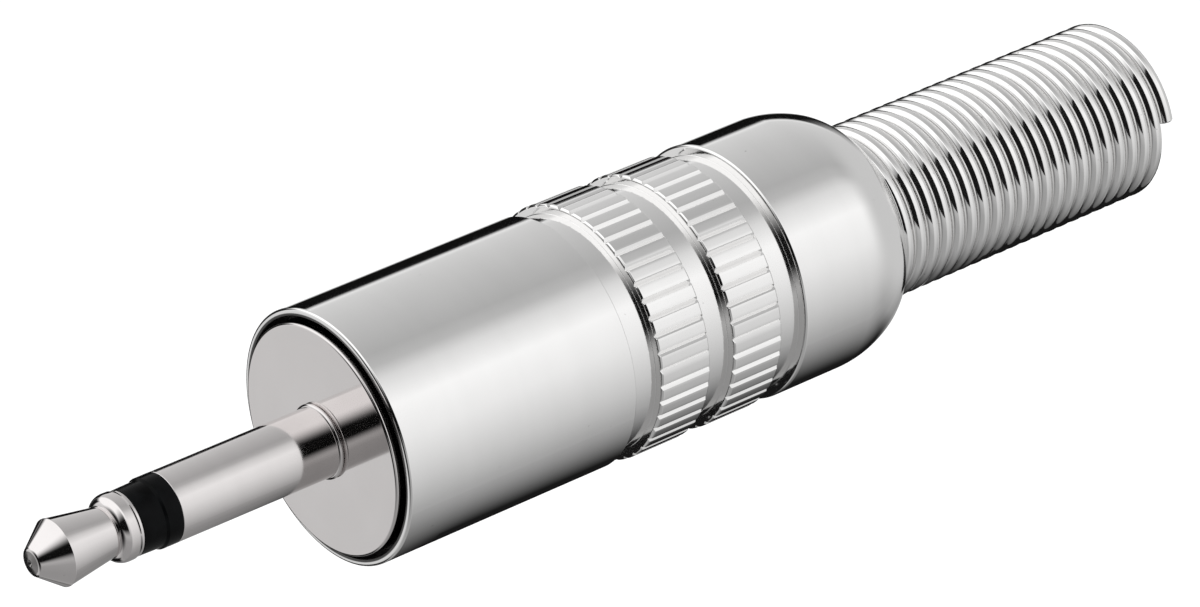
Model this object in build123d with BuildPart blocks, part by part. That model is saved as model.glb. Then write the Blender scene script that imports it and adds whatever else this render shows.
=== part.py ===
from build123d import *
from math import cos, pi, radians, sin, sqrt
import os

# Two-contact plug with a screw-on shell and a coiled cable guard, in millimetres.
# The plug's axis is X. The tip points to -X and the cable leaves at +X.
# The origin is the centre of the flange's front face, where the sleeve meets it.

# Clearances
press_clearance = 0.02
running_clearance = 0.07
seat_clearance = 0.05
thread_clearance = 0.03

# Sleeve, flange and threaded boss
shank_radius = 1.25
sleeve_length = 6.5
sleeve_wall = 0.4
bead_height = 0.14
bead_length = 0.24
flange_radius = 4.1
flange_thickness = 1.2
flange_chamfer = 0.08
boss_length = 4.6
thread_major_radius = 3.87
thread_depth = 0.27
stake_radius = 2.0
stake_lip_radius = 2.25
stake_lip_length = 0.27
rear_bore_radius = 1.35
rear_bore_depth = 1.6

# Tip, its rod and the rod's head
nose_radius = 0.45
dimple_radius = 0.15
dimple_depth = 0.1
ridge_radius = 1.19
neck_radius = 0.89
collar_radius = 1.2
collar_end_radius = 1.17
cone_length = 1.0
taper_length = 1.95
collar_length = 0.8
rod_radius = 0.4
rod_head_radius = 0.75
rod_head_length = 0.4

# Insulators
ring_length = 1.5
ring_front_length = 0.85
ring_front_radius = 1.16
ring_step_radius = 1.18
spigot_length = 1.2
washer_radius = 2.1
washer_thickness = 0.5
liner_wall = 0.25
liner_end_gap = 0.2

# Stamped lugs and the cable clamp
lug_thickness = 0.35
sleeve_lug_ring_radius = 2.85
strip_width = 2.0
strip_depth = 2.85
wire_hole_radius = 0.55
wire_hole_from_ring = 4.0
clamp_inner_radius = 1.75
clamp_length = 2.5
clamp_from_ring = 8.0
clamp_arm_height = 2.05
tip_lug_thickness = 0.3
tip_lug_ring_radius = 1.4
tongue_width = 1.7
tongue_height = 1.9
tongue_length = 5.6
tongue_bend_radius = 0.45
solder_hole_radius = 0.45
solder_hole_from_end = 1.0

# Shell
flange_proud = 0.25
mouth_gap = 0.23
front_radius = 4.57
rear_radius = 4.66
rim_chamfer = 0.12
front_length = 9.58
groove_width = 1.06
groove_floor_radius = 4.3
band_count = 2
band_length = 2.12
knurl_radius = 4.64
knurl_count = 46
knurl_depth = 0.12
knurl_cut_width = 0.22
rear_length = 2.95
dome_front_radius = 4.08
dome_front_angle = 24.7
dome_rear_radius = 2.42
dome_rear_angle = 35.3
end_wall_thickness = 1.09
thread_run_out = 0.2
inner_radius = 3.6

# Coiled cable guard
wire_diameter = 0.58
coil_gap = 0.012
guard_radius = 3.24
seated_turns = 1.5
flare_turns = 1.0
free_turns = 23.9
guard_end_angle = 166
facets_per_turn = 11
wire_sides = 6

# Places along the axis that the pieces share
sleeve_bore_radius = shank_radius - sleeve_wall
collar_end = -sleeve_length - ring_length
neck_end = collar_end - collar_length
ridge_place = neck_end - taper_length
tip_end = ridge_place - cone_length
thread_end = flange_thickness + boss_length
lug_seat = thread_end + press_clearance
lip_start = lug_seat + lug_thickness + press_clearance
body_end = lip_start + stake_lip_length
rear_bore_start = body_end - rear_bore_depth
washer_start = body_end + press_clearance
tip_lug_start = washer_start + washer_thickness + press_clearance
rod_head_start = tip_lug_start + tip_lug_thickness + press_clearance
rod_end = rod_head_start + rod_head_length
rod_hole_radius = rod_radius + press_clearance
thread_root_radius = thread_major_radius - thread_depth

shell_floor = flange_thickness + seat_clearance
shell_thread_end = thread_end + thread_run_out
shell_thread_radius = thread_major_radius + thread_clearance
groove_start = flange_proud + front_length
grooves_end = groove_start + (band_count + 1) * groove_width + band_count * band_length
dome_start = grooves_end + rear_length
dome_join = dome_start + dome_front_radius * sin(radians(dome_front_angle))
dome_rear_reach = sin(radians(dome_front_angle + dome_rear_angle)) - sin(radians(dome_front_angle))
shell_end = dome_join + dome_rear_radius * dome_rear_reach
end_wall_start = shell_end - end_wall_thickness

wire_radius = wire_diameter / 2
coil_pitch = wire_diameter + coil_gap
captive_radius = inner_radius - running_clearance
guard_hole_radius = guard_radius + running_clearance
captive_turns = seated_turns + flare_turns
guard_turns = captive_turns + free_turns
guard_start = end_wall_start - seat_clearance - wire_radius - captive_turns * coil_pitch

# Tip contact: cone, back taper, neck, bulging collar with its shoulder in two chords, and the headed rod
with BuildPart() as tip_contact:
    with BuildSketch(Plane.XZ):
        with BuildLine():
            shoulder = collar_radius - neck_radius
            shoulder_cut = shoulder * (1 - sqrt(1 / 2))
            Polyline(
                (tip_end + dimple_depth, 0),
                (tip_end, dimple_radius),
                (tip_end, nose_radius),
                (ridge_place, ridge_radius),
                (neck_end, neck_radius),
                (neck_end + shoulder_cut, collar_radius - shoulder_cut),
                (neck_end + shoulder, collar_radius),
                (collar_end, collar_end_radius),
                (collar_end, rod_radius),
                (rod_head_start, rod_radius),
                (rod_head_start, rod_head_radius),
                (rod_end, rod_head_radius),
                (rod_end, 0),
                close=True,
            )
        make_face()
    revolve(axis=Axis.X)
tip_contact.part.label = "tip_contact"

# Front insulator: the ring that shows, slightly tapered up to a small step, and its spigot in the sleeve
with BuildPart() as tip_insulator:
    with BuildSketch(Plane.XZ):
        with BuildLine():
            step_place = collar_end + ring_front_length
            spigot_radius = sleeve_bore_radius - press_clearance
            Polyline(
                (collar_end, rod_hole_radius),
                (collar_end, ring_front_radius),
                (step_place, ring_step_radius),
                (step_place + shank_radius - ring_step_radius, shank_radius),
                (-sleeve_length, shank_radius),
                (-sleeve_length, spigot_radius),
                (-sleeve_length + spigot_length, spigot_radius),
                (-sleeve_length + spigot_length, rod_hole_radius),
                close=True,
            )
        make_face()
    revolve(axis=Axis.X)
tip_insulator.part.label = "tip_insulator"

# Sleeve body: sleeve, bead as a cone, flange, boss at the thread's root, staking lip and rear bore
with BuildPart() as sleeve_body:
    with BuildSketch(Plane.XZ):
        with BuildLine():
            Polyline(
                (-sleeve_length, shank_radius),
                (-bead_length, shank_radius),
                (0, shank_radius + bead_height),
                (0, flange_radius - flange_chamfer),
                (flange_chamfer, flange_radius),
                (flange_thickness, flange_radius),
                (flange_thickness, thread_root_radius),
                (thread_end, thread_root_radius),
                (thread_end, stake_radius),
                (lip_start, stake_radius),
                (lip_start, stake_lip_radius),
                (body_end, stake_lip_radius),
                (body_end, rear_bore_radius),
                (rear_bore_start, rear_bore_radius),
                (rear_bore_start, sleeve_bore_radius),
                (-sleeve_length, sleeve_bore_radius),
                close=True,
            )
        make_face()
    revolve(axis=Axis.X)
sleeve_body.part.label = "sleeve_body"

# Insulating tube round the rod, from the front insulator to the rear bush
with BuildPart() as core_tube:
    with BuildSketch(Plane.YZ.offset(-sleeve_length + spigot_length + press_clearance)):
        Circle(sleeve_bore_radius - press_clearance)
        Circle(rod_hole_radius, mode=Mode.SUBTRACT)
    extrude(amount=rear_bore_start + sleeve_length - spigot_length - 2 * press_clearance)
core_tube.part.label = "core_tube"

# Insulating bush in the boss's rear bore
with BuildPart() as rear_bush:
    with BuildSketch(Plane.YZ.offset(rear_bore_start)):
        Circle(rear_bore_radius - press_clearance)
        Circle(rod_hole_radius, mode=Mode.SUBTRACT)
    extrude(amount=rear_bore_depth)
rear_bush.part.label = "rear_bush"

# Insulating washer between the staked end of the boss and the tip lug
with BuildPart() as terminal_washer:
    with BuildSketch(Plane.YZ.offset(washer_start)):
        Circle(washer_radius)
        Circle(rod_hole_radius, mode=Mode.SUBTRACT)
    extrude(amount=washer_thickness)
terminal_washer.part.label = "terminal_washer"

# Sleeve lug: ring on the boss's stake, strip along the underside, wire hole and open cable clamp
with BuildPart() as sleeve_lug:
    with BuildSketch(Plane.YZ.offset(lug_seat)):
        Circle(sleeve_lug_ring_radius)
        with Locations((0, -strip_depth / 2)):
            Rectangle(strip_width, strip_depth)
        Circle(stake_radius + press_clearance, mode=Mode.SUBTRACT)
    extrude(amount=lug_thickness)
    strip_length = clamp_from_ring + clamp_length
    with BuildSketch(Plane.XY.offset(-strip_depth)):
        with Locations((lug_seat + strip_length / 2, 0)):
            Rectangle(strip_length, strip_width)
        with Locations((lug_seat + wire_hole_from_ring, 0)):
            Circle(wire_hole_radius, mode=Mode.SUBTRACT)
    extrude(amount=lug_thickness)
    with BuildSketch(Plane.YZ.offset(lug_seat + clamp_from_ring)):
        with BuildLine():
            clamp_outer_radius = clamp_inner_radius + lug_thickness
            clamp_height = clamp_outer_radius - strip_depth
            CenterArc((0, clamp_height), clamp_outer_radius, 180, 180)
            CenterArc((0, clamp_height), clamp_inner_radius, 180, 180)
            for side in (-1, 1):
                Polyline(
                    (side * clamp_outer_radius, clamp_height),
                    (side * clamp_outer_radius, clamp_height + clamp_arm_height),
                    (side * clamp_inner_radius, clamp_height + clamp_arm_height),
                    (side * clamp_inner_radius, clamp_height),
                )
        make_face()
    extrude(amount=clamp_length)
sleeve_lug.part.label = "sleeve_lug"

# Tip lug: ring under the rod's head and a tongue bent back along the axis, with a solder hole
with BuildPart() as tip_lug:
    tongue_end = tip_lug_start + tongue_length
    with BuildSketch(Plane.YZ.offset(tip_lug_start)):
        Circle(tip_lug_ring_radius)
        with Locations((0, (tongue_height - tongue_bend_radius) / 2)):
            Rectangle(tongue_width, tongue_height - tongue_bend_radius)
        Circle(rod_hole_radius, mode=Mode.SUBTRACT)
    extrude(amount=tip_lug_thickness)
    with BuildSketch(Plane.XZ):
        with BuildLine():
            FilletPolyline(
                (tip_lug_start, tongue_height - 2 * tongue_bend_radius),
                (tip_lug_start, tongue_height),
                (tongue_end, tongue_height),
                radius=tongue_bend_radius,
            )
            Line((tongue_end, tongue_height), (tongue_end, tongue_height - tip_lug_thickness))
            FilletPolyline(
                (tongue_end, tongue_height - tip_lug_thickness),
                (tip_lug_start + tip_lug_thickness, tongue_height - tip_lug_thickness),
                (tip_lug_start + tip_lug_thickness, tongue_height - 2 * tongue_bend_radius),
                radius=tongue_bend_radius - tip_lug_thickness,
            )
            Line(
                (tip_lug_start + tip_lug_thickness, tongue_height - 2 * tongue_bend_radius),
                (tip_lug_start, tongue_height - 2 * tongue_bend_radius),
            )
        make_face()
    extrude(amount=tongue_width / 2, both=True)
    with BuildSketch(Plane.XY.offset(tongue_height - tip_lug_thickness)):
        with Locations((tongue_end - solder_hole_from_end, 0)):
            Circle(solder_hole_radius)
    extrude(amount=tip_lug_thickness, mode=Mode.SUBTRACT)
tip_lug.part.label = "tip_lug"

# Shell: turned outside with a domed end, knurled bands standing in one wide groove, then the bores
with BuildPart() as shell:
    with BuildSketch(Plane.XZ):
        with BuildLine():
            Polyline(
                (shell_end, 0),
                (flange_proud, 0),
                (flange_proud, front_radius - rim_chamfer),
                (flange_proud + rim_chamfer, front_radius),
                (groove_start, front_radius),
                (groove_start, groove_floor_radius),
                (grooves_end, groove_floor_radius),
                (grooves_end, rear_radius),
                (dome_start, rear_radius),
            )
            front_arc = JernArc((dome_start, rear_radius), (1, 0), dome_front_radius, -dome_front_angle)
            rear_arc = JernArc(front_arc @ 1, front_arc % 1, dome_rear_radius, -dome_rear_angle)
            Line(rear_arc @ 1, (shell_end, 0))
        make_face()
    revolve(axis=Axis.X)
    # A knurled band is a prism with a V cut at each corner, so its lands are flat
    for band in range(band_count):
        band_start = groove_start + groove_width + band * (band_length + groove_width)
        with BuildSketch(Plane.YZ.offset(band_start)):
            RegularPolygon(knurl_radius, knurl_count)
            with PolarLocations(knurl_radius, knurl_count):
                Polygon(
                    (-knurl_depth, 0),
                    (knurl_depth, -knurl_cut_width),
                    (knurl_depth, knurl_cut_width),
                    mode=Mode.SUBTRACT,
                )
        extrude(amount=band_length)
    with BuildSketch(Plane.XZ):
        with BuildLine():
            mouth_radius = flange_radius + mouth_gap
            Polyline(
                (flange_proud, 0),
                (flange_proud, mouth_radius),
                (shell_floor, mouth_radius),
                (shell_floor, shell_thread_radius),
                (shell_thread_end, shell_thread_radius),
                (shell_thread_end, inner_radius),
                (end_wall_start, inner_radius),
                (end_wall_start, guard_hole_radius),
                (shell_end, guard_hole_radius),
                (shell_end, 0),
                close=True,
            )
        make_face()
    revolve(axis=Axis.X, mode=Mode.SUBTRACT)
shell.part.label = "shell"

# Insulating liner inside the shell, between its thread and the guard's first turn
with BuildPart() as liner:
    liner_start = shell_thread_end + liner_end_gap
    liner_end = guard_start - wire_radius - liner_end_gap
    with BuildSketch(Plane.YZ.offset(liner_start)):
        Circle(captive_radius)
        Circle(captive_radius - liner_wall, mode=Mode.SUBTRACT)
    extrude(amount=liner_end - liner_start)
liner.part.label = "liner"


def coil_point(turn):
    """The wire's centre after so many turns: wide captive turns first, then a flare in to the guard."""
    flare = min(max((turn - seated_turns) / flare_turns, 0), 1)
    blend = flare * flare * (3 - 2 * flare)
    mean_radius = captive_radius + (guard_radius - captive_radius) * blend - wire_radius
    angle = radians(guard_end_angle) - 2 * pi * (guard_turns - turn)
    return Vector(guard_start + turn * coil_pitch, mean_radius * cos(angle), mean_radius * sin(angle))


# Cable guard: round wire as a many-sided section, lofted turn by turn along its right-hand coil
with BuildPart() as guard_spring:
    section_count = round(guard_turns * facets_per_turn)
    half_step = guard_turns / section_count / 2
    for section in range(section_count + 1):
        turn = guard_turns * section / section_count
        centre = coil_point(turn)
        along = coil_point(turn + half_step) - coil_point(turn - half_step)
        outward = Vector(0, centre.Y, centre.Z)
        with BuildSketch(Plane(origin=centre, x_dir=outward, z_dir=along)):
            RegularPolygon(wire_radius, wire_sides)
    loft(ruled=True)
guard_spring.part.label = "guard_spring"

os.makedirs("parts", exist_ok=True)
export_step(tip_contact.part, "parts/tip_contact.step")
export_step(tip_insulator.part, "parts/tip_insulator.step")
export_step(sleeve_body.part, "parts/sleeve_body.step")
export_step(core_tube.part, "parts/core_tube.step")
export_step(rear_bush.part, "parts/rear_bush.step")
export_step(terminal_washer.part, "parts/terminal_washer.step")
export_step(sleeve_lug.part, "parts/sleeve_lug.step")
export_step(tip_lug.part, "parts/tip_lug.step")
export_step(liner.part, "parts/liner.step")
export_step(shell.part, "parts/shell.step")
export_step(guard_spring.part, "parts/guard_spring.step")
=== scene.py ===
from math import atan2, ceil, cos, pi, radians, sin, tan

import bmesh
import bpy
from mathutils import Matrix, Vector


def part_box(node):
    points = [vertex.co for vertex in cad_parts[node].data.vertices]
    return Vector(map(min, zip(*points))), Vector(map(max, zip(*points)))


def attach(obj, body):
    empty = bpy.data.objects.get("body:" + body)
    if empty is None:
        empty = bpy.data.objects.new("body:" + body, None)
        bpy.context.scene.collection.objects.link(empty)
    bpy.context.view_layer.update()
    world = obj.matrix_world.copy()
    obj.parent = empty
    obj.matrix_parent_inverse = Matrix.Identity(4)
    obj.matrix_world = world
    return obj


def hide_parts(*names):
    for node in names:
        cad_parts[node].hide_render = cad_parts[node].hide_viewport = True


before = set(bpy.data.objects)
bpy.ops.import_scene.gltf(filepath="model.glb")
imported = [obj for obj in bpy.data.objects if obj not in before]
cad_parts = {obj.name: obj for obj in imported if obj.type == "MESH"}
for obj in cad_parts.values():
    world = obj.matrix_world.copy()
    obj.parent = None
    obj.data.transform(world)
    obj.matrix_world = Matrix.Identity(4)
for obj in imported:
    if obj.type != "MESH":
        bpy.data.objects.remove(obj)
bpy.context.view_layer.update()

# Lengths are worked out in millimetres and become metres when a mesh is made or an object is placed.
# The plug's axis is X, the tip points to -X, and the origin is the centre of the flange's front face.
MM = 0.001


# Small tools for node trees


class Socket:
    """A node's output that adds Math nodes when Python arithmetic is done on it."""

    def __init__(self, tree, socket):
        self.tree = tree
        self.socket = socket

    def math(self, operation, *others):
        return self.tree.math(operation, self, *others)

    def __add__(self, other):
        return self.math("ADD", other)

    def __sub__(self, other):
        return self.math("SUBTRACT", other)

    def __mul__(self, other):
        return self.math("MULTIPLY", other)

    def __truediv__(self, other):
        return self.math("DIVIDE", other)

    __radd__ = __add__
    __rmul__ = __mul__

    def __rsub__(self, other):
        return self.tree.math("SUBTRACT", other, self)

    def __rtruediv__(self, other):
        return self.tree.math("DIVIDE", other, self)

    def __abs__(self):
        return self.math("ABSOLUTE")

    def root(self):
        return self.math("SQRT")

    def sine(self):
        return self.math("SINE")

    def cosine(self):
        return self.math("COSINE")

    def angle_from(self, other):
        return self.math("ARCTAN2", other)

    def nearest(self):
        return self.math("ROUND")

    def wrapped(self, length):
        return self.math("FLOORED_MODULO", length)

    def least(self, other):
        return self.math("MINIMUM", other)

    def most(self, other):
        return self.math("MAXIMUM", other)

    def least_softly(self, other, softness):
        return self.math("SMOOTH_MIN", other, softness)

    def above(self, limit):
        return self.math("GREATER_THAN", limit)

    def below(self, limit):
        return self.math("LESS_THAN", limit)

    def step(self, start, end, low=0.0, high=1.0):
        """low before start, high after end, and a smooth change between them."""
        names = {"Value": self, "From Min": start, "From Max": end, "To Min": low, "To Max": high}
        return self.tree.add("ShaderNodeMapRange", {"interpolation_type": "SMOOTHSTEP"}, names)

    def until(self, start, end, high=1.0):
        """high before start, nothing after end."""
        return self.step(start, end, high, 0.0)

    def between(self, first, last):
        """One from the edge first to the edge last, and nothing outside them. An edge is (start, end)."""
        return self.step(*first) * self.until(*last)


class Tree:
    """A node tree that takes new nodes by type, settings and socket values."""

    def __init__(self, tree):
        self.tree = tree

    def add(self, kind, settings=None, sockets=None, out=0):
        node = self.tree.nodes.new(kind)
        for name, value in (settings or {}).items():
            if name == "stops":
                self.set_stops(node.color_ramp.elements, value)
            else:
                setattr(node, name, value)
        for name, value in (sockets or {}).items():
            if isinstance(value, Socket):
                self.tree.links.new(value.socket, node.inputs[name])
            else:
                node.inputs[name].default_value = value
        return Socket(self, node.outputs[out]) if len(node.outputs) else None

    def set_stops(self, stops, levels):
        """Grey stops from (place, level). Places are set first, because a ramp sorts its stops by them."""
        while len(stops) < len(levels):
            stops.new(0.5)
        for stop, (place, level) in zip(stops, levels):
            stop.position = place
        for stop, (place, level) in zip(stops, levels):
            stop.color = grey(level)

    def output(self, value, name):
        """Another output of the node that value comes from."""
        return Socket(self, value.socket.node.outputs[name])

    def math(self, operation, *values):
        return self.add("ShaderNodeMath", {"operation": operation}, dict(enumerate(values)))

    def split(self, vector):
        """A vector's three shares."""
        x = self.add("ShaderNodeSeparateXYZ", {}, {0: vector})
        return x, self.output(x, "Y"), self.output(x, "Z")

    def joined(self, x, y, z):
        return self.add("ShaderNodeCombineXYZ", {}, {0: x, 1: y, 2: z})

    def mix(self, share, first, second):
        """A colour between two colours. The node's colour sockets are known by number."""
        names = {"Factor": share, 6: first, 7: second}
        return self.add("ShaderNodeMix", {"data_type": "RGBA"}, names, out=2)

    def noise(self, vector, scale, detail=2.0, roughness=0.5):
        names = {"Vector": vector, "Scale": scale, "Detail": detail, "Roughness": roughness}
        return self.add("ShaderNodeTexNoise", {}, names)

    def noise_along(self, place, scale, detail):
        """Noise that changes along one measure only."""
        names = {"W": place, "Scale": scale, "Detail": detail}
        return self.add("ShaderNodeTexNoise", {"noise_dimensions": "1D"}, names)


def grey(level):
    return (level, level, level, 1)


def empty_material(name):
    """A material with no nodes yet, and its tree."""
    material = bpy.data.materials.new(name)
    material.use_nodes = True
    material.node_tree.nodes.clear()
    return material, Tree(material.node_tree)


# Camera, from the photograph's own perspective, with the plug's origin across, above and before it in mm

FOCAL_LENGTH = 195.03
SENSOR_WIDTH = 36.0
ELEVATION = radians(31.1)
AZIMUTH = radians(-39.1)
ORIGIN_FROM_CAMERA = (-9.2757, -4.5611, 216.04)
AHEAD = Vector((-sin(AZIMUTH) * cos(ELEVATION), cos(AZIMUTH) * cos(ELEVATION), -sin(ELEVATION)))


def make_camera():
    right = Vector((cos(AZIMUTH), sin(AZIMUTH), 0))
    up = right.cross(AHEAD)
    across, high, deep = ORIGIN_FROM_CAMERA
    lens = bpy.data.cameras.new("camera")
    lens.lens = FOCAL_LENGTH
    lens.sensor_width = SENSOR_WIDTH
    lens.clip_start = 1 * MM
    camera = bpy.data.objects.new("camera", lens)
    turn = Matrix((right, up, -AHEAD)).transposed().to_4x4()
    camera.matrix_world = Matrix.Translation(-(right * across + up * high + AHEAD * deep) * MM) @ turn
    bpy.context.scene.collection.objects.link(camera)
    bpy.context.scene.camera = camera


# Studio world: pale screens with black flags between them, which only reflections see.
# A direction is told by x, its share along the plug, and by turn, its angle round the plug in degrees, with
# 0 along Y and 90 straight up. A side's screens are (turn, radiance) stops. An edge is (start, end), and a
# part with two edges has them in one value.

RADIANCE_TOP = 1.5
RIGHT_SIDE = (
    (-90, 0.30), (-58, 0.28), (-48, 0.005), (6, 0.005), (11, 0.95), (16, 0.74), (90, 0.49), (102, 0.56),
    (114, 0.82), (138, 1.11), (168, 0.97), (210, 0.65), (234, 0.45), (258, 0.33),
)
LEFT_SIDE = (
    (-85, 0.40), (-60, 0.56), (-38, 0.75), (-10, 0.88), (8, 1.0), (14, 1.32), (110, 1.32),
    (180, 0.60), (205, 0.42), (240, 0.38),
)
SIDES_MEET = (-0.02, 0.12)
REAR_SCREEN = 0.66
REAR_SCREEN_EDGE = (0.70, 0.92)
LOW_SCREEN = 0.38
LOW_SCREEN_TURN = ((-75, -60), (-39, -36))
LOW_SCREEN_EDGE = (0.55, 0.585)
SIDE_FLAG_TURN = ((82, 134), (162, 190))
SIDE_FLAG_EDGE = (-0.2, -0.06)
FRONT_FLAG_EDGE = (-0.96, -0.64)
LOW_FLAG_TURN = ((-80, -70), (0, 14))
LOW_FLAG_WIDTH = ((-0.48, -0.40), (0.0, 0.1))
UPPER_FLAGS_DARKNESS = 0.995
LOW_FLAG_DARKNESS = 0.99
BACKDROP_EDGE = (0.956, 0.985)
BACKDROP_END = (0.56, 0.66)
ROOM_LIGHT = 0.75


def side_screens(tree, turn, levels):
    """Radiance against the angle round the plug, as a ramp over one whole turn."""
    first = levels[0][0]
    stops = [((angle - first) / 360, level / RADIANCE_TOP) for angle, level in levels]
    share = (turn - first).wrapped(360) / 360
    return tree.add("ShaderNodeValToRGB", {"stops": stops}, {0: share}) * RADIANCE_TOP


def mirrored_studio(tree):
    """What reflections see: the screens, less the flags, and the bright backdrop beyond the plug."""
    x, y, z = tree.split(tree.add("ShaderNodeTexCoord", out="Generated"))
    turn = z.angle_from(y) * (180 / pi)
    right = side_screens(tree, turn, RIGHT_SIDE)
    left = side_screens(tree, turn, LEFT_SIDE)
    screens = left + (right - left) * x.step(*SIDES_MEET)
    screens = screens + (REAR_SCREEN - screens) * x.step(*REAR_SCREEN_EDGE)
    screens = screens.most(turn.between(*LOW_SCREEN_TURN) * x.step(*LOW_SCREEN_EDGE) * LOW_SCREEN)
    side_flag = turn.wrapped(360).between(*SIDE_FLAG_TURN) * x.until(*SIDE_FLAG_EDGE)
    upper_flags = side_flag.most(x.until(*FRONT_FLAG_EDGE))
    low_flag = turn.between(*LOW_FLAG_TURN) * x.between(*LOW_FLAG_WIDTH)
    ahead = x * AHEAD.x + y * AHEAD.y + z * AHEAD.z
    backdrop = ahead.step(*BACKDROP_EDGE) * x.until(*BACKDROP_END)
    screens = screens * (1 - upper_flags * UPPER_FLAGS_DARKNESS) * (1 - low_flag * LOW_FLAG_DARKNESS)
    return screens + backdrop


def make_world():
    """White to the camera, the mirrored studio to glossy and transmission rays, an even light to others."""
    world = bpy.data.worlds.new("studio")
    bpy.context.scene.world = world
    world.use_nodes = True
    world.node_tree.nodes.clear()
    tree = Tree(world.node_tree)
    mirrored = mirrored_studio(tree)
    camera_ray = tree.add("ShaderNodeLightPath", out="Is Camera Ray")
    glossy_ray = tree.output(camera_ray, "Is Glossy Ray").most(tree.output(camera_ray, "Is Transmission Ray"))
    level = mirrored * glossy_ray + (1 - glossy_ray) * ROOM_LIGHT
    level = camera_ray + (1 - camera_ray) * level
    background = tree.add("ShaderNodeBackground", {}, {"Color": grey(1), "Strength": level})
    tree.add("ShaderNodeOutputWorld", {}, {"Surface": background})


# Lamp and floor, with places and sizes in mm and the power in watts

LAMP_SIZE = 160
LAMP_POWER = 0.12
LAMP_PLACE = Vector((-60, -50, 200))
LAMP_AIM = Vector((10, 0, 0))
FLOOR_HEIGHT = -34
FLOOR_REACH = 2000
FLOOR_GLOW = 0.3
PAPER_GRAIN = 900.0


def make_lamp():
    lamp = bpy.data.lights.new("soft_lamp", "AREA")
    lamp.shape = "DISK"
    lamp.size = LAMP_SIZE * MM
    lamp.energy = LAMP_POWER
    rig = bpy.data.objects.new("soft_lamp", lamp)
    rig.location = LAMP_PLACE * MM
    rig.rotation_euler = (LAMP_AIM - LAMP_PLACE).to_track_quat("-Z", "Y").to_euler()
    rig.visible_glossy = False
    bpy.context.scene.collection.objects.link(rig)


def studio_sheet(name, corners):
    """A flat sheet between its corners in mm, with an empty material, and the material's tree."""
    mesh = bpy.data.meshes.new(name)
    points = [(x * MM, y * MM, z * MM) for x, y, z in corners]
    mesh.from_pydata(points, [], [tuple(range(len(points)))])
    sheet = bpy.data.objects.new(name, mesh)
    bpy.context.scene.collection.objects.link(sheet)
    material, tree = empty_material(name)
    mesh.materials.append(material)
    return sheet, tree


def level_corners(low, high, height):
    """The corners of a level sheet from its lowest and highest (x, y)."""
    (front, near), (rear, far) = low, high
    return [(front, near, height), (rear, near, height), (rear, far, height), (front, far, height)]


def make_floor():
    """Pale paper that keeps the plug's shadow and glows a little to the camera."""
    corners = level_corners((-FLOOR_REACH, -FLOOR_REACH), (FLOOR_REACH, FLOOR_REACH), FLOOR_HEIGHT)
    floor, tree = studio_sheet("floor_paper", corners)
    floor.visible_glossy = False
    place = tree.add("ShaderNodeTexCoord", out="Object")
    grain = tree.noise(place, PAPER_GRAIN).step(0.3, 0.7, 0.93, 0.95)
    colour = tree.add("ShaderNodeCombineColor", {}, {0: grain, 1: grain, 2: grain})
    paper = tree.add("ShaderNodeBsdfDiffuse", {}, {"Color": colour})
    camera_ray = tree.add("ShaderNodeLightPath", out="Is Camera Ray")
    glow = tree.add("ShaderNodeEmission", {}, {"Color": grey(1), "Strength": camera_ray * FLOOR_GLOW})
    both = tree.add("ShaderNodeAddShader", {}, {0: paper, 1: glow})
    tree.add("ShaderNodeOutputMaterial", {}, {"Surface": both})


# Dark sheets near the plug, seen only in its reflections, with places in mm

CARD_LOW = (6, -18)
CARD_HIGH = (50, 32)
CARD_HEIGHT = -24
CARD_RADIANCE = (0.42, 0.01)
CARD_SHADE = (-22, 6)
CARD_WIDTH = ((6, 17), (41, 48))
STRIP_RADIANCE = 0.01
STRIPS = (
    ("strip_under_guard", (27.5, -2.6), (42, 3), -4.7),
    ("strip_under_grooves", (5.4, -1.8), (15, 5), -8),
)
WEDGE_PLACE = 21.2
WEDGE_POINT = (-1.5, 1.2)
WEDGE_SIDES = (radians(117), radians(187))
WEDGE_REACH = 120
WEDGE_HOLE = (4.7, 4.8)
WEDGE_RADIANCE = 0.008


def mirrored_sheet(name, corners):
    """A studio sheet that only reflections see, and its material's tree."""
    sheet, tree = studio_sheet(name, corners)
    sheet.visible_camera = False
    sheet.visible_diffuse = False
    sheet.visible_transmission = False
    sheet.visible_shadow = False
    return tree


def end_sheet(tree, radiance, share):
    """The sheet's surface: an even glow, clear where share is nothing."""
    glow = tree.add("ShaderNodeEmission", {}, {"Color": grey(1), "Strength": radiance})
    clear = tree.add("ShaderNodeBsdfTransparent")
    both = tree.add("ShaderNodeMixShader", {}, {0: share, 1: clear, 2: glow})
    tree.add("ShaderNodeOutputMaterial", {}, {"Surface": both})


def make_card():
    """A level card well under the plug, darker toward its far side and clear toward its ends."""
    tree = mirrored_sheet("dark_card", level_corners(CARD_LOW, CARD_HIGH, CARD_HEIGHT))
    x, y, z = places_in_mm(tree, tree.add("ShaderNodeTexCoord", out="Object"))
    end_sheet(tree, y.step(*CARD_SHADE, *CARD_RADIANCE), x.between(*CARD_WIDTH))


def make_strip(name, low, high, height):
    """A narrow level strip close under the plug."""
    tree = mirrored_sheet(name, level_corners(low, high, height))
    glow = tree.add("ShaderNodeEmission", {}, {"Color": grey(1), "Strength": STRIP_RADIANCE})
    tree.add("ShaderNodeOutputMaterial", {}, {"Surface": glow})


def make_wedge():
    """An upright wedge round the shell's end, dark only to reflections that come forward from the guard."""
    y, z = WEDGE_POINT
    corners = [(WEDGE_PLACE, y, z)]
    corners += [(WEDGE_PLACE, y + WEDGE_REACH * cos(a), z + WEDGE_REACH * sin(a)) for a in WEDGE_SIDES]
    tree = mirrored_sheet("rear_flag", corners)
    x, y, z = places_in_mm(tree, tree.add("ShaderNodeTexCoord", out="Object"))
    back = tree.add("ShaderNodeNewGeometry", out="Backfacing")
    end_sheet(tree, WEDGE_RADIANCE, (y * y + z * z).root().step(*WEDGE_HOLE) * (1 - back))


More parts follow.
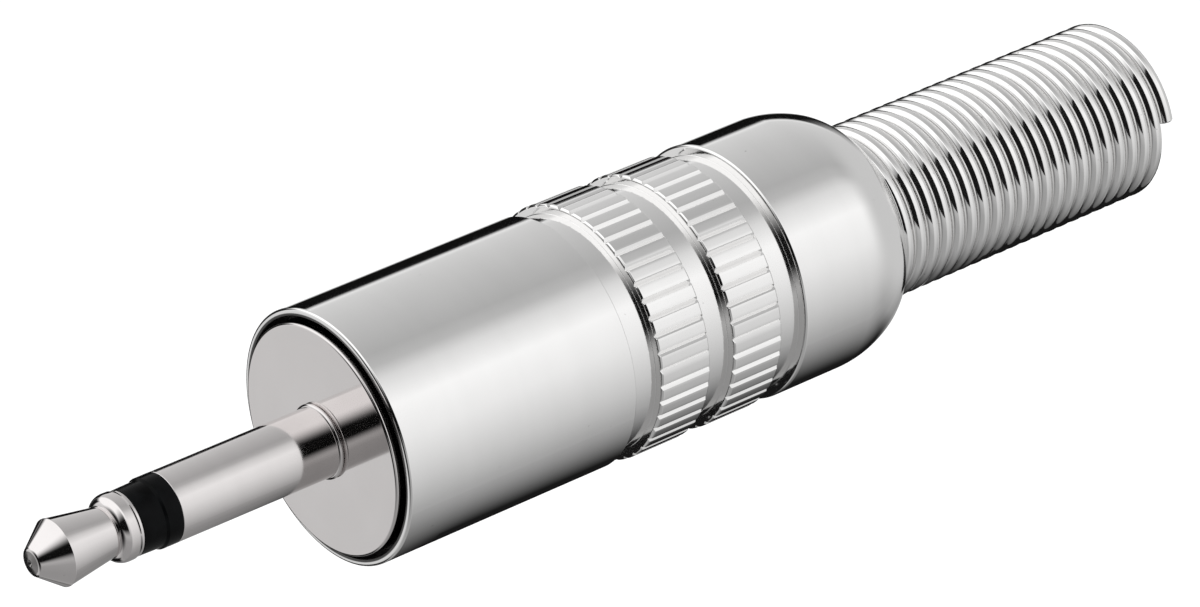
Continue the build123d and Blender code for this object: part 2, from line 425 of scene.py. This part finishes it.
# Materials. Noise scales are per metre on object coordinates and per mm on lengths.

SHANK_DULL_END = (-2.4, -1.4)


def places_in_mm(tree, place):
    """The three shares of a place that is in metres."""
    return [share / MM for share in tree.split(place)]


def new_material(name):
    """An empty material, its tree and the object coordinate."""
    material, tree = empty_material(name)
    return material, tree, tree.add("ShaderNodeTexCoord", out="Object")


def from_axis(tree, place):
    """Places along the plug's axis and distances from it, in mm."""
    x, y, z = places_in_mm(tree, place)
    return x, (y * y + z * z).root()


def finish_material(tree, colour, roughness, height, depth, fixed):
    """The surface: colour, roughness, a height map of some depth in mm, and the shader's fixed values."""
    bump = tree.add("ShaderNodeBump", {}, {"Strength": 1.0, "Distance": depth * MM, "Height": height})
    sockets = {"Base Color": colour, "Roughness": roughness, "Normal": bump, **fixed}
    surface = tree.add("ShaderNodeBsdfPrincipled", {}, sockets)
    tree.add("ShaderNodeOutputMaterial", {}, {"Surface": surface})


def nickel(name, darker, lighter, shaded_hollows=(), slim=0.0, groove=0.0):
    """Bright nickel plate on turned brass: fine turning lines, faint clouds, a few specks and painted shade
    in hollows.

    The hollows list holds (radius, end, share): what is nearer the axis than radius, before x = end, is
    darkened by share with painted shade.
    slim is the roughness added to the shank before SHANK_DULL_END, and groove is the floor radius of
    grooves that are less polished.
    """
    speck_tone = (0.25, 0.235, 0.22, 1)
    # Near-black tone of the painted shade in the hollows
    painted_shade_tone = (0.03, 0.029, 0.028, 1)
    material, tree, place = new_material(name)
    x, radius = from_axis(tree, place)
    lines = tree.noise_along(x + radius, 34.0, 3.0)
    bands = tree.noise_along(x + radius * 0.7, 1.3, 1.0)
    clouds = tree.noise(place, 420.0, 3.0)
    specks = tree.noise(place, 5200.0, 1.0).step(0.8, 0.84)
    shade = clouds.step(0.3, 0.7) * 0.6 + bands.step(0.2, 0.8) * 0.4
    colour = tree.mix(shade, darker, lighter)
    colour = tree.mix(specks * 0.35, colour, speck_tone)
    rough = clouds.step(0.3, 0.75, 0.06, 0.085) + lines.step(0.4, 0.8, 0.0, 0.015)
    rough = rough + radius.until(SHANK_RADIUS + 0.05, SHANK_RADIUS + 0.25, slim) * x.until(*SHANK_DULL_END)
    if groove:
        rough = rough + radius.until(groove + 0.02, groove + 0.15, 0.03)
    # Painted shade: each listed hollow is darkened toward the near-black tone and made a little rougher
    for wall, end, share in shaded_hollows:
        painted_shade = radius.until(wall - 0.02, wall + 0.02) * x.until(end, end + 0.05) * share
        colour = tree.mix(painted_shade, colour, painted_shade_tone)
        rough = rough + painted_shade * 0.25
    finish_material(tree, colour, rough, lines + clouds * 0.5, 0.00006, {"Metallic": 1.0})
    return material


def drawn_wire():
    """Bright drawn wire: die lines along the wire and slow changes of polish from turn to turn."""
    darker = (0.81, 0.805, 0.80, 1)
    lighter = (0.86, 0.855, 0.85, 1)
    speck_tone = (0.3, 0.285, 0.27, 1)
    material, tree, place = new_material("bright_wire")
    along = tree.add("ShaderNodeAttribute", {"attribute_name": "wire_along"}, out="Fac")
    around = tree.add("ShaderNodeAttribute", {"attribute_name": "wire_around"}, out="Fac")
    circle = around * 2 * pi
    lines = tree.noise(tree.joined(circle.cosine(), circle.sine(), along * 0.02), 9.0, 3.0)
    polish = tree.noise_along(along, 0.16, 2.0)
    specks = tree.noise(place, 6100.0, 1.0).step(0.76, 0.81)
    colour = tree.mix(polish.step(0.3, 0.7), darker, lighter)
    colour = tree.mix(specks * 0.6, colour, speck_tone)
    rough = polish.step(0.3, 0.7, 0.07, 0.1) + lines.step(0.5, 0.8, 0.0, 0.02)
    finish_material(tree, colour, rough, lines, 0.0002, {"Metallic": 1.0})
    return material


def black_plastic():
    """Turned black plastic: glossy, with fine turning lines and faint clouds."""
    darker = (0.001, 0.001, 0.0012, 1)
    lighter = (0.004, 0.0045, 0.005, 1)
    material, tree, place = new_material("black_plastic")
    x, radius = from_axis(tree, place)
    lines = tree.noise_along(x + radius, 22.0, 3.0)
    clouds = tree.noise(place, 900.0, 3.0)
    colour = tree.mix(clouds.step(0.35, 0.7), darker, lighter)
    rough = clouds.step(0.3, 0.7, 0.2, 0.3) + lines.step(0.5, 0.8, 0.0, 0.06)
    finish_material(tree, colour, rough, lines, 0.0006, {"Specular IOR Level": 0.06})
    return material


def pale_plastic():
    """Plain pale insulating plastic: matt, slightly mottled, with faint turning lines."""
    darker = (0.76, 0.735, 0.67, 1)
    lighter = (0.84, 0.82, 0.76, 1)
    material, tree, place = new_material("pale_plastic")
    x, radius = from_axis(tree, place)
    lines = tree.noise_along(x + radius, 14.0, 3.0)
    mottle = tree.noise(place, 1400.0, 4.0)
    colour = tree.mix(mottle.step(0.3, 0.7), darker, lighter)
    rough = mottle.step(0.3, 0.7, 0.42, 0.55)
    finish_material(tree, colour, rough, lines + mottle, 0.0008, {})
    return material


def tinned_strip():
    """Tinned brass strip: cloudy tin, rolling lines along X and darker spots."""
    darker = (0.62, 0.61, 0.59, 1)
    lighter = (0.80, 0.79, 0.765, 1)
    spot_tone = (0.34, 0.32, 0.28, 1)
    material, tree, place = new_material("tinned_strip")
    stretch = tree.add("ShaderNodeMapping", {}, {"Vector": place, "Scale": (60, 2600, 2600)})
    lines = tree.noise(stretch, 1.0)
    clouds = tree.noise(place, 700.0, 4.0, 0.6)
    spots = tree.noise(place, 3000.0, 1.0).step(0.7, 0.78)
    colour = tree.mix(clouds.step(0.3, 0.7), darker, lighter)
    colour = tree.mix(spots * 0.5, colour, spot_tone)
    rough = clouds.step(0.3, 0.7, 0.24, 0.42) + spots * 0.1
    finish_material(tree, colour, rough, lines * 0.6 + clouds, 0.0012, {"Metallic": 1.0})
    return material


# Meshes

ON_AXIS = 1e-6
SHARP_ANGLE = radians(35)
SMALL_ROUND = 0.06
SMALL_ROUND_STEP = radians(30)
ROUND_STEP = radians(15)


def piece_from_mesh(name, mesh, material):
    """A new piece with this mesh and one material."""
    mesh.materials.clear()
    mesh.materials.append(material)
    piece = bpy.data.objects.new(name, mesh)
    bpy.context.scene.collection.objects.link(piece)
    return piece


def plain_mesh(piece):
    """Turns the piece's modifiers into its mesh and removes them."""
    bpy.context.view_layer.update()
    depsgraph = bpy.context.evaluated_depsgraph_get()
    mesh = bpy.data.meshes.new_from_object(
        piece.evaluated_get(depsgraph), preserve_all_data_layers=True, depsgraph=depsgraph)
    material = piece.data.materials[0]
    piece.modifiers.clear()
    piece.data = mesh
    mesh.name = piece.name
    mesh.materials.clear()
    mesh.materials.append(material)


def smooth(piece):
    """Smooth shading with true flats: a corner blends the faces within SHARP_ANGLE of its own, by area."""
    mesh = piece.data
    mesh.shade_smooth()
    limit = cos(SHARP_ANGLE)
    facing = [face.normal.copy() for face in mesh.polygons]
    weighted = [face.normal * (face.area / MM**2) for face in mesh.polygons]
    around = [[] for vertex in mesh.vertices]
    for face in mesh.polygons:
        for vertex in face.vertices:
            around[vertex].append(face.index)
    normals = []
    for face in mesh.polygons:
        own = facing[face.index]
        for vertex in face.vertices:
            blend = [weighted[other] for other in around[vertex] if own.dot(facing[other]) > limit]
            normals.append(sum(blend, Vector((0, 0, 0))).normalized())
    mesh.normals_split_custom_set(normals)


def rounded(corners):
    """Outline points in mm of (x, r, size) corners. A corner with a size becomes an arc of that radius."""
    points = []
    for index, (x, r, size) in enumerate(corners):
        here = Vector((x, r))
        if size == 0:
            points.append(here)
            continue
        before = (Vector(corners[index - 1][:2]) - here).normalized()
        after = (Vector(corners[(index + 1) % len(corners)][:2]) - here).normalized()
        half = before.angle(after) / 2
        reach = size / tan(half)
        centre = here + (before + after).normalized() * (size / sin(half))
        start = here + before * reach - centre
        end = here + after * reach - centre
        first = atan2(start.y, start.x)
        turn = (atan2(end.y, end.x) - first + pi) % (2 * pi) - pi
        steps = max(2, ceil(abs(turn) / (SMALL_ROUND_STEP if size < SMALL_ROUND else ROUND_STEP)))
        for step in range(steps + 1):
            angle = first + turn * step / steps
            points.append(centre + Vector((cos(angle), sin(angle))) * size)
    return points


def turned(name, outline, material, columns, closed=True):
    """A piece turned about X from its outline. An open outline starts and ends on the axis."""
    angles = [2 * pi * column / columns for column in range(columns)]
    shape = bmesh.new()
    rings = []
    for x, r in outline:
        if r < ON_AXIS:
            rings.append([shape.verts.new((x * MM, 0, 0))] * columns)
        else:
            rings.append([shape.verts.new((x * MM, r * cos(a) * MM, r * sin(a) * MM)) for a in angles])
    for ring, following in zip(rings, rings[1:] + rings[:1] if closed else rings[1:]):
        for column in range(columns):
            after = (column + 1) % columns
            corners = (ring[column], ring[after], following[after], following[column])
            shape.faces.new(tuple(dict.fromkeys(corners)))
    bmesh.ops.recalc_face_normals(shape, faces=shape.faces[:])
    mesh = bpy.data.meshes.new(name)
    shape.to_mesh(mesh)
    shape.free()
    return piece_from_mesh(name, mesh, material)


def tube_outline(start, end, inner, outer, edge):
    return rounded([(start, inner, edge), (start, outer, edge), (end, outer, edge), (end, inner, edge)])


def seat(piece, body, slot, *nodes):
    """Shades a finished piece, puts it on its body and hides the CAD nodes it stands for. The slot, its
    finish, is not used.
    """
    smooth(piece)
    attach(piece, body)
    if nodes:
        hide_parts(*nodes)


# Geometry Nodes: helpers for making a tree and for using it. sizes holds the inputs' values by name.


def new_recipe(name, sizes):
    """A geometry tree with these named number inputs, whole or not as their values are."""
    group = bpy.data.node_groups.new(name, "GeometryNodeTree")
    group.interface.new_socket("Geometry", in_out="INPUT", socket_type="NodeSocketGeometry")
    for label, value in sizes.items():
        kind = "NodeSocketInt" if isinstance(value, int) else "NodeSocketFloat"
        group.interface.new_socket(label, in_out="INPUT", socket_type=kind).default_value = value
    group.interface.new_socket("Surface", in_out="INPUT", socket_type="NodeSocketMaterial")
    group.interface.new_socket("Geometry", in_out="OUTPUT", socket_type="NodeSocketGeometry")
    tree = Tree(group)
    first = tree.add("NodeGroupInput")
    values = {socket.name: Socket(tree, socket) for socket in first.socket.node.outputs if socket.name}
    return group, tree, values


def end_recipe(tree, shape, values):
    shape = tree.add("GeometryNodeRealizeInstances", {}, {"Geometry": shape})
    shape = tree.add("GeometryNodeSetMaterial", {}, {"Geometry": shape, "Material": values["Surface"]})
    tree.add("NodeGroupOutput", {}, {0: shape})


def follow_recipe(piece, group, sizes):
    """Runs a geometry tree on a piece with these sizes and leaves a plain mesh."""
    material = piece.data.materials[0]
    modifier = piece.modifiers.new(group.name, "NODES")
    modifier.node_group = group
    for socket in group.interface.items_tree:
        if socket.in_out == "INPUT" and socket.name in sizes:
            modifier[socket.identifier] = sizes[socket.name]
        elif socket.in_out == "INPUT" and socket.name == "Surface":
            modifier[socket.identifier] = material
    plain_mesh(piece)


# Tip contact: dimpled nose, cone, back taper, neck and bulb, and the rod with its head

TIP_END = -11.75
NOSE_RADIUS = 0.49
NOSE_LENGTH = 0.07
DIMPLE_RADIUS = 0.12
DIMPLE_DEPTH = 0.08
RIDGE = -10.75
RIDGE_RADIUS = 1.19
NECK_END = -8.8
NECK_RADIUS = 0.89
COLLAR_END = -8.0
COLLAR_RADIUS = 1.2
BULB_LENGTH = 0.42
ROD_RADIUS = 0.4
ROD_HEAD = 7.32
HEAD_LENGTH = 0.4
HEAD_RADIUS = 0.75


def make_tip(material):
    bulb = [
        (NECK_END + BULB_LENGTH * (1 - cos(a)), NECK_RADIUS + (COLLAR_RADIUS - NECK_RADIUS) * sin(a), 0)
        for a in (pi / 2 * step / 9 for step in range(1, 10))
    ]
    corners = [
        (TIP_END + DIMPLE_DEPTH, 0, 0),
        (TIP_END + DIMPLE_DEPTH - 0.02, 0.05, 0.03),
        (TIP_END, DIMPLE_RADIUS, 0.03),
        (TIP_END + NOSE_LENGTH, NOSE_RADIUS, 0.14),
        (RIDGE, RIDGE_RADIUS, 0.04),
        (NECK_END, NECK_RADIUS, 0.02),
        *bulb,
        (COLLAR_END - 0.2, COLLAR_RADIUS, 0.15),
        (COLLAR_END - 0.1, COLLAR_RADIUS - 0.05, 0.05),
        (COLLAR_END, COLLAR_RADIUS - 0.03, 0.04),
        (COLLAR_END, ROD_RADIUS, 0),
        (ROD_HEAD, ROD_RADIUS, 0),
        (ROD_HEAD, HEAD_RADIUS, 0.03),
        (ROD_HEAD + HEAD_LENGTH, HEAD_RADIUS, 0.15),
        (ROD_HEAD + HEAD_LENGTH, 0, 0),
    ]
    tip = turned("tip_turned", rounded(corners), material, columns=144, closed=False)
    seat(tip, "plug_body", "nickel_plate", "tip_contact")


# Black ring between the tip and the sleeve, with its spigot in the sleeve

SLEEVE_FRONT = -6.5
SHANK_RADIUS = 1.25
ROD_HOLE = 0.42
RING_STEP = -7.15
RING_FRONT_RADIUS = 1.16
RING_STEP_RADIUS = 1.18
SPIGOT_END = -5.3
SPIGOT_RADIUS = 0.83


def make_front_insulator(material):
    corners = [
        (COLLAR_END, ROD_HOLE, 0),
        (COLLAR_END, RING_FRONT_RADIUS, 0.03),
        (RING_STEP, RING_STEP_RADIUS, 0.03),
        (RING_STEP + 0.08, SHANK_RADIUS, 0.03),
        (SLEEVE_FRONT, SHANK_RADIUS, 0.02),
        (SLEEVE_FRONT, SPIGOT_RADIUS, 0),
        (SPIGOT_END, SPIGOT_RADIUS, 0.02),
        (SPIGOT_END, ROD_HOLE, 0),
    ]
    ring = turned("insulator_ring", rounded(corners), material, columns=144)
    seat(ring, "plug_body", "black_insulator", "tip_insulator")


# Sleeve, bead, flange, thread relief, boss, staking lip and bores

SLEEVE_BORE = 0.85
BEAD_RADIUS = 0.09
BEAD_PLACE = -0.1
FLANGE = 1.2
FLANGE_RADIUS = 4.13
RELIEF_LENGTH = 0.6
RELIEF_RADIUS = 3.45
THREAD_PITCH = 0.5
THREAD_ROOT = 3.6
THREAD_CREST = 3.87
BOSS_END = 5.8
BOSS_LEAD = 0.2
LIP_START = 6.19
LIP_NECK_RADIUS = 2.0
LIP_RADIUS = 2.25
BODY_END = 6.46
REAR_BORE = 4.86
REAR_BORE_RADIUS = 1.35


def make_sleeve(material):
    bead = [
        (BEAD_PLACE - BEAD_RADIUS * cos(a), SHANK_RADIUS + BEAD_RADIUS * sin(a), 0)
        for a in (pi * step / 10 for step in range(11))
    ]
    corners = [
        (SLEEVE_FRONT, SLEEVE_BORE, 0.02),
        (SLEEVE_FRONT, SHANK_RADIUS, 0.03),
        *bead,
        (0, SHANK_RADIUS, 0.01),
        (0, FLANGE_RADIUS, 0.09),
        (FLANGE, FLANGE_RADIUS, 0.04),
        (FLANGE, RELIEF_RADIUS, 0.03),
        (FLANGE + RELIEF_LENGTH, RELIEF_RADIUS, 0.03),
        (FLANGE + RELIEF_LENGTH, THREAD_ROOT, 0),
        (BOSS_END - BOSS_LEAD, THREAD_ROOT, 0.03),
        (BOSS_END, THREAD_ROOT - BOSS_LEAD, 0.03),
        (BOSS_END, LIP_NECK_RADIUS, 0.02),
        (LIP_START, LIP_NECK_RADIUS, 0),
        (LIP_START, LIP_RADIUS, 0.02),
        (BODY_END, LIP_RADIUS, 0.08),
        (BODY_END, REAR_BORE_RADIUS, 0.02),
        (REAR_BORE, REAR_BORE_RADIUS, 0.02),
        (REAR_BORE, SLEEVE_BORE, 0.02),
    ]
    sleeve = turned("sleeve_turned", rounded(corners), material, columns=192)
    seat(sleeve, "plug_body", "nickel_plate", "sleeve_body")


# Threads: a ridge along a right-hand helix, tapering to nothing at both ends. The shell's ridge is half a
# turn from the boss's, so each lies in the other's groove.

BOSS_THREAD_START = 1.85
SHELL_THREAD_START = 1.45
BOSS_THREAD = {
    "Pitch": THREAD_PITCH, "Turns": 7.5,
    "Start": BOSS_THREAD_START, "Start angle": 2 * pi * BOSS_THREAD_START / THREAD_PITCH,
    "Foot radius": THREAD_ROOT - 0.02, "Crest radius": THREAD_CREST,
    "Foot half width": 0.19, "Crest half width": 0.03, "Steps": 500,
}
SHELL_THREAD = {
    **BOSS_THREAD, "Turns": 8.9,
    "Start": SHELL_THREAD_START, "Start angle": 2 * pi * (SHELL_THREAD_START / THREAD_PITCH - 0.5),
    "Foot radius": 3.92, "Crest radius": 3.63,
}
THREAD_RUN_OUT = 0.45
MERGE_DISTANCE = 0.0002


def thread_recipe():
    """A grid wrapped round the ridge: side is 0 and 3 at the foot, 1 and 2 at the crest, and 4 closes it."""
    group, tree, value = new_recipe("thread_ridge", BOSS_THREAD)
    grid = tree.add("GeometryNodeMeshGrid", {}, {
        "Size X": 1.0, "Size Y": 4.0, "Vertices X": value["Steps"], "Vertices Y": 5})
    x, y, z = tree.split(tree.add("GeometryNodeInputPosition"))
    share = x + 0.5
    side = y + 2
    crest = 1 - (abs(side - 1.5) - 0.5).most(0).least(1)
    far = 1 - (abs(side - 2.5) - 0.5).most(0).least(1)
    swell = (share.least(1 - share) * value["Turns"]).step(0.0, THREAD_RUN_OUT)
    half = value["Foot half width"] + (value["Crest half width"] - value["Foot half width"]) * crest
    radius = value["Foot radius"] + (value["Crest radius"] - value["Foot radius"]) * crest * swell
    along = value["Start"] + share * value["Turns"] * value["Pitch"] + (far * 2 - 1) * half * swell
    angle = value["Start angle"] + share * value["Turns"] * 2 * pi
    spot = tree.joined(along * MM, radius * angle.cosine() * MM, radius * angle.sine() * MM)
    shape = tree.add("GeometryNodeSetPosition", {}, {"Geometry": grid, "Position": spot})
    shape = tree.add("GeometryNodeMergeByDistance", {}, {"Geometry": shape, "Distance": MERGE_DISTANCE * MM})
    end_recipe(tree, shape, value)
    return group


def make_thread(name, recipe, material, body, sizes):
    ridge = piece_from_mesh(name, bpy.data.meshes.new(name), material)
    follow_recipe(ridge, recipe, sizes)
    shape = bmesh.new()
    shape.from_mesh(ridge.data)
    bmesh.ops.recalc_face_normals(shape, faces=shape.faces[:])
    shape.to_mesh(ridge.data)
    shape.free()
    seat(ridge, body, "nickel_plate")


# Shell: plain front, two knurled bands between three grooves, plain rear and domed end

SHELL_FRONT = 0.25
SHELL_FRONT_RADIUS = 4.57
FIRST_GROOVE = 9.83
GROOVE = 1.06
FLOOR_RADIUS = 4.3
BAND = 2.12
BAND_RADIUS = 4.64
REAR_RADIUS = 4.66
REAR_LENGTH = 2.95
# The radius behind each groove, the slant of its rear wall and the round of its front edge
GROOVES = ((BAND_RADIUS, 0.0, 0.04), (BAND_RADIUS, 0.0, 0.08), (REAR_RADIUS, 0.02, 0.08))
SHELL_END = 22.98
END_WALL = 21.9
HOLE_RADIUS = 3.31
SHELL_BORE = 3.6
THREAD_BORE = 3.9
THREAD_BORE_END = 6.0
MOUTH_RADIUS = 4.3
MOUTH_END = 1.25
DOME_FRONT_RADIUS = 4.08
DOME_REAR_RADIUS = 2.42
DOME_JOIN = radians(24.7)
DOME_END = radians(56.5)
COLUMNS_PER_RIB = 12
V_SOFTNESS = 0.012
LAND_SOFTNESS = 0.02
BAND_SLACK = 0.002
KNURL = {
    "Ribs": 46, "Land radius": BAND_RADIUS, "V depth": 0.12, "V half width": 0.11,
    "First band": FIRST_GROOVE + GROOVE, "Band length": BAND, "Band step": BAND + GROOVE,
    "Bands": len(GROOVES) - 1,
}


def knurl_recipe():
    """V cuts along the bands, open at both ends, with soft bottoms and edges."""
    group, tree, value = new_recipe("knurled_bands", KNURL)
    x, y, z = places_in_mm(tree, tree.add("GeometryNodeInputPosition"))
    radius = (y * y + z * z).root()
    turn = z.angle_from(y) * value["Ribs"] / (2 * pi)
    from_v = abs(turn - turn.nearest()) / value["Ribs"] * (2 * pi) * value["Land radius"]
    slope = value["V depth"] / value["V half width"]
    past = x - value["First band"] + BAND_SLACK
    in_step = past.wrapped(value["Band step"])
    in_band = past.above(0) * past.below(value["Band step"] * value["Bands"])
    in_band = in_band * in_step.below(value["Band length"] + 2 * BAND_SLACK)
    v_floor = value["Land radius"] - value["V depth"] + (from_v * from_v + V_SOFTNESS**2).root() * slope
    scale = 1 + in_band * (radius.least_softly(v_floor, LAND_SOFTNESS) / radius - 1)
    moved = tree.joined(x * MM, y * scale * MM, z * scale * MM)
    shape = tree.add("GeometryNodeSetPosition", {}, {"Geometry": value["Geometry"], "Position": moved})
    end_recipe(tree, shape, value)
    return group


def dome_points(start):
    """The domed end: two tangent arcs, up to the edge of the guard's hole."""
    points = [
        (start + DOME_FRONT_RADIUS * sin(a), REAR_RADIUS - DOME_FRONT_RADIUS * (1 - cos(a)), 0)
        for a in (DOME_JOIN * step / 10 for step in range(11))
    ]
    x, r, size = points[-1]
    for step in range(1, 15):
        a = DOME_JOIN + (DOME_END - DOME_JOIN) * step / 14
        across = r - DOME_REAR_RADIUS * (cos(DOME_JOIN) - cos(a))
        points.append((x + DOME_REAR_RADIUS * (sin(a) - sin(DOME_JOIN)), across, 0))
    return points


def make_shell(material):
    corners = [(SHELL_FRONT, MOUTH_RADIUS, 0.03), (SHELL_FRONT, SHELL_FRONT_RADIUS, 0.1)]
    edge = FIRST_GROOVE
    before = SHELL_FRONT_RADIUS
    for after, slant, ease in GROOVES:
        corners += [(edge, before, ease), (edge, FLOOR_RADIUS, 0.02)]
        edge += GROOVE
        corners += [(edge - slant, FLOOR_RADIUS, 0.02), (edge, after, 0.12)]
        edge += BAND
        before = after
    corners += dome_points(edge - BAND + REAR_LENGTH)
    corners += [
        (SHELL_END, HOLE_RADIUS, 0.05),
        (END_WALL, HOLE_RADIUS, 0.04),
        (END_WALL, SHELL_BORE, 0.04),
        (THREAD_BORE_END, SHELL_BORE, 0.03),
        (THREAD_BORE_END, THREAD_BORE, 0.03),
        (MOUTH_END, THREAD_BORE, 0.03),
        (MOUTH_END, MOUTH_RADIUS, 0.02),
    ]
    shell = turned("shell_turned", rounded(corners), material, columns=KNURL["Ribs"] * COLUMNS_PER_RIB)
    follow_recipe(shell, knurl_recipe(), KNURL)
    seat(shell, "shell", "nickel_plate", "shell")


# Cable guard: one length of round wire, wide turns held in the shell, then close turns of the guard

WIRE_RADIUS = 0.29
COIL_PITCH = 0.592
SEATED_TURNS = 1.5
FLARE_TURNS = 1.0
WALL_GAP = 0.05
COIL = {
    "Turns": 26.4, "Pitch": COIL_PITCH, "End angle": radians(166), "Wire radius": WIRE_RADIUS,
    "Start": END_WALL - WALL_GAP - WIRE_RADIUS - (SEATED_TURNS + FLARE_TURNS) * COIL_PITCH,
    "Wide radius": 3.53, "Guard radius": 3.24, "Seated turns": SEATED_TURNS, "Flare turns": FLARE_TURNS,
    "Steps per turn": 72, "Wire sides": 16,
}
END_CUT = 0.85
END_SHRINK = 0.16


def coil_recipe():
    """Round wire on a helix, with its cut ends slightly broken: a last short step to a smaller ring."""
    group, tree, value = new_recipe("wound_wire", COIL)
    steps = (value["Turns"] * value["Steps per turn"]).nearest()
    line = tree.add("GeometryNodeMeshLine", {}, {"Count": steps + 1, "Offset": (0, 0, 1)})
    index = tree.add("GeometryNodeInputIndex")
    inner = index.most(END_CUT).least(steps - END_CUT) - END_CUT
    turn = inner / (steps - 2 * END_CUT) * value["Turns"]
    flare = turn.step(value["Seated turns"], value["Seated turns"] + value["Flare turns"])
    outer = value["Wide radius"] + (value["Guard radius"] - value["Wide radius"]) * flare
    mean = outer - value["Wire radius"]
    angle = value["End angle"] + (turn - value["Turns"]) * (2 * pi)
    along = value["Start"] + turn * value["Pitch"]
    spot = tree.joined(along * MM, mean * angle.cosine() * MM, mean * angle.sine() * MM)
    line = tree.add("GeometryNodeSetPosition", {}, {"Geometry": line, "Position": spot})
    wire = tree.add("GeometryNodeMeshToCurve", {}, {"Mesh": line})
    at_end = index.below(0.5).most(index.above(steps - 0.5))
    shrink = 1 - at_end * END_SHRINK
    point_value = {"data_type": "FLOAT", "domain": "POINT"}
    wire = tree.add("GeometryNodeStoreNamedAttribute", point_value, {
        "Geometry": wire, "Name": "wire_along", "Value": turn * mean * (2 * pi)})
    wire = tree.add("GeometryNodeSetCurveRadius", {}, {"Curve": wire, "Radius": shrink})
    ring = tree.add("GeometryNodeCurvePrimitiveCircle", {}, {
        "Resolution": value["Wire sides"], "Radius": value["Wire radius"] * MM})
    ring = tree.add("GeometryNodeStoreNamedAttribute", point_value, {
        "Geometry": ring, "Name": "wire_around", "Value": index / value["Wire sides"]})
    shape = tree.add("GeometryNodeCurveToMesh", {}, {
        "Curve": wire, "Profile Curve": ring, "Scale": shrink, "Fill Caps": True})
    end_recipe(tree, shape, value)
    return group


def make_guard(material):
    guard = piece_from_mesh("guard_coil", bpy.data.meshes.new("guard_coil"), material)
    follow_recipe(guard, coil_recipe(), COIL)
    seat(guard, "guard", "spring_wire", "guard_spring")


# Inside pieces: tube, bush, washer, liner and the two lugs

# Each tube's name, CAD node, start, end, bore, radius and edge
TUBES = (
    ("core_sleeve", "core_tube", -5.28, 4.84, ROD_HOLE, SPIGOT_RADIUS, 0.03),
    ("bush", "rear_bush", REAR_BORE, BODY_END, ROD_HOLE, REAR_BORE_RADIUS - 0.02, 0.05),
    ("washer", "terminal_washer", 6.48, 6.98, ROD_HOLE, 2.1, 0.06),
)
LINER_RADIUS = 3.53
LINER_BORE = 3.28
LINER_EDGE = 0.06
LUG_EDGE = 0.04
LUG_SAME_POINT = 0.001
LUG_FLAT_ANGLE = radians(1)
LUG_SHARP_ANGLE = radians(40)


def make_insulators(material):
    for name, node, start, end, inner, outer, edge in TUBES:
        tube = turned(name, tube_outline(start, end, inner, outer, edge), material, columns=96)
        seat(tube, "plug_body", "inner_insulator", node)
    low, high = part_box("liner")
    outline = tube_outline(low.x / MM, high.x / MM, LINER_BORE, LINER_RADIUS, LINER_EDGE)
    liner = turned("liner_tube", outline, material, columns=160)
    seat(liner, "liner", "inner_insulator", "liner")


def make_lug(name, node, material):
    """A stamped lug: the CAD node's own shape with its edges rounded by the tool."""
    shape = bmesh.new()
    shape.from_mesh(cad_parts[node].data)
    bmesh.ops.remove_doubles(shape, verts=shape.verts[:], dist=LUG_SAME_POINT * MM)
    bmesh.ops.dissolve_limit(shape, angle_limit=LUG_FLAT_ANGLE, verts=shape.verts[:], edges=shape.edges[:])
    mesh = bpy.data.meshes.new(name)
    shape.to_mesh(mesh)
    shape.free()
    lug = piece_from_mesh(name, mesh, material)
    bevel = lug.modifiers.new("rounded_edges", "BEVEL")
    bevel.width = LUG_EDGE * MM
    bevel.segments = 2
    bevel.limit_method = "ANGLE"
    bevel.angle_limit = LUG_SHARP_ANGLE
    plain_mesh(lug)
    seat(lug, "plug_body", "tinned_lug", node)


# The scene

# Darker and lighter tones of the plating, and the painted shade that darkens the tip's dimple and nose face,
# the shell's inside and its mouth
PLUG_TONES = ((0.69, 0.665, 0.66, 1), (0.73, 0.705, 0.70, 1))
SHELL_TONES = ((0.825, 0.82, 0.815, 1), (0.85, 0.845, 0.84, 1))
NOSE_PAINTED_SHADE = (0.4, TIP_END + 0.05, 0.62)
SHELL_PAINTED_SHADE = ((4.0, END_WALL, 0.9), (4.4, MOUTH_END + 0.05, 0.9))

bpy.context.scene.view_settings.view_transform = "Standard"
make_camera()
make_world()
make_lamp()
make_floor()
make_card()
for strip in STRIPS:
    make_strip(*strip)
make_wedge()

make_tip(nickel("nickel_tip", *PLUG_TONES, shaded_hollows=(NOSE_PAINTED_SHADE,)))
make_front_insulator(black_plastic())
make_sleeve(nickel("nickel_body", *PLUG_TONES, slim=0.05))
make_shell(nickel("nickel_shell", *SHELL_TONES, shaded_hollows=SHELL_PAINTED_SHADE, groove=FLOOR_RADIUS))
thread_nickel = nickel("nickel_thread", *PLUG_TONES)
ridge_recipe = thread_recipe()
make_thread("boss_thread", ridge_recipe, thread_nickel, "plug_body", BOSS_THREAD)
make_thread("shell_thread", ridge_recipe, thread_nickel, "shell", SHELL_THREAD)
make_guard(drawn_wire())
make_insulators(pale_plastic())
tinned = tinned_strip()
make_lug("clamp_lug", "sleeve_lug", tinned)
make_lug("tongue_lug", "tip_lug", tinned)
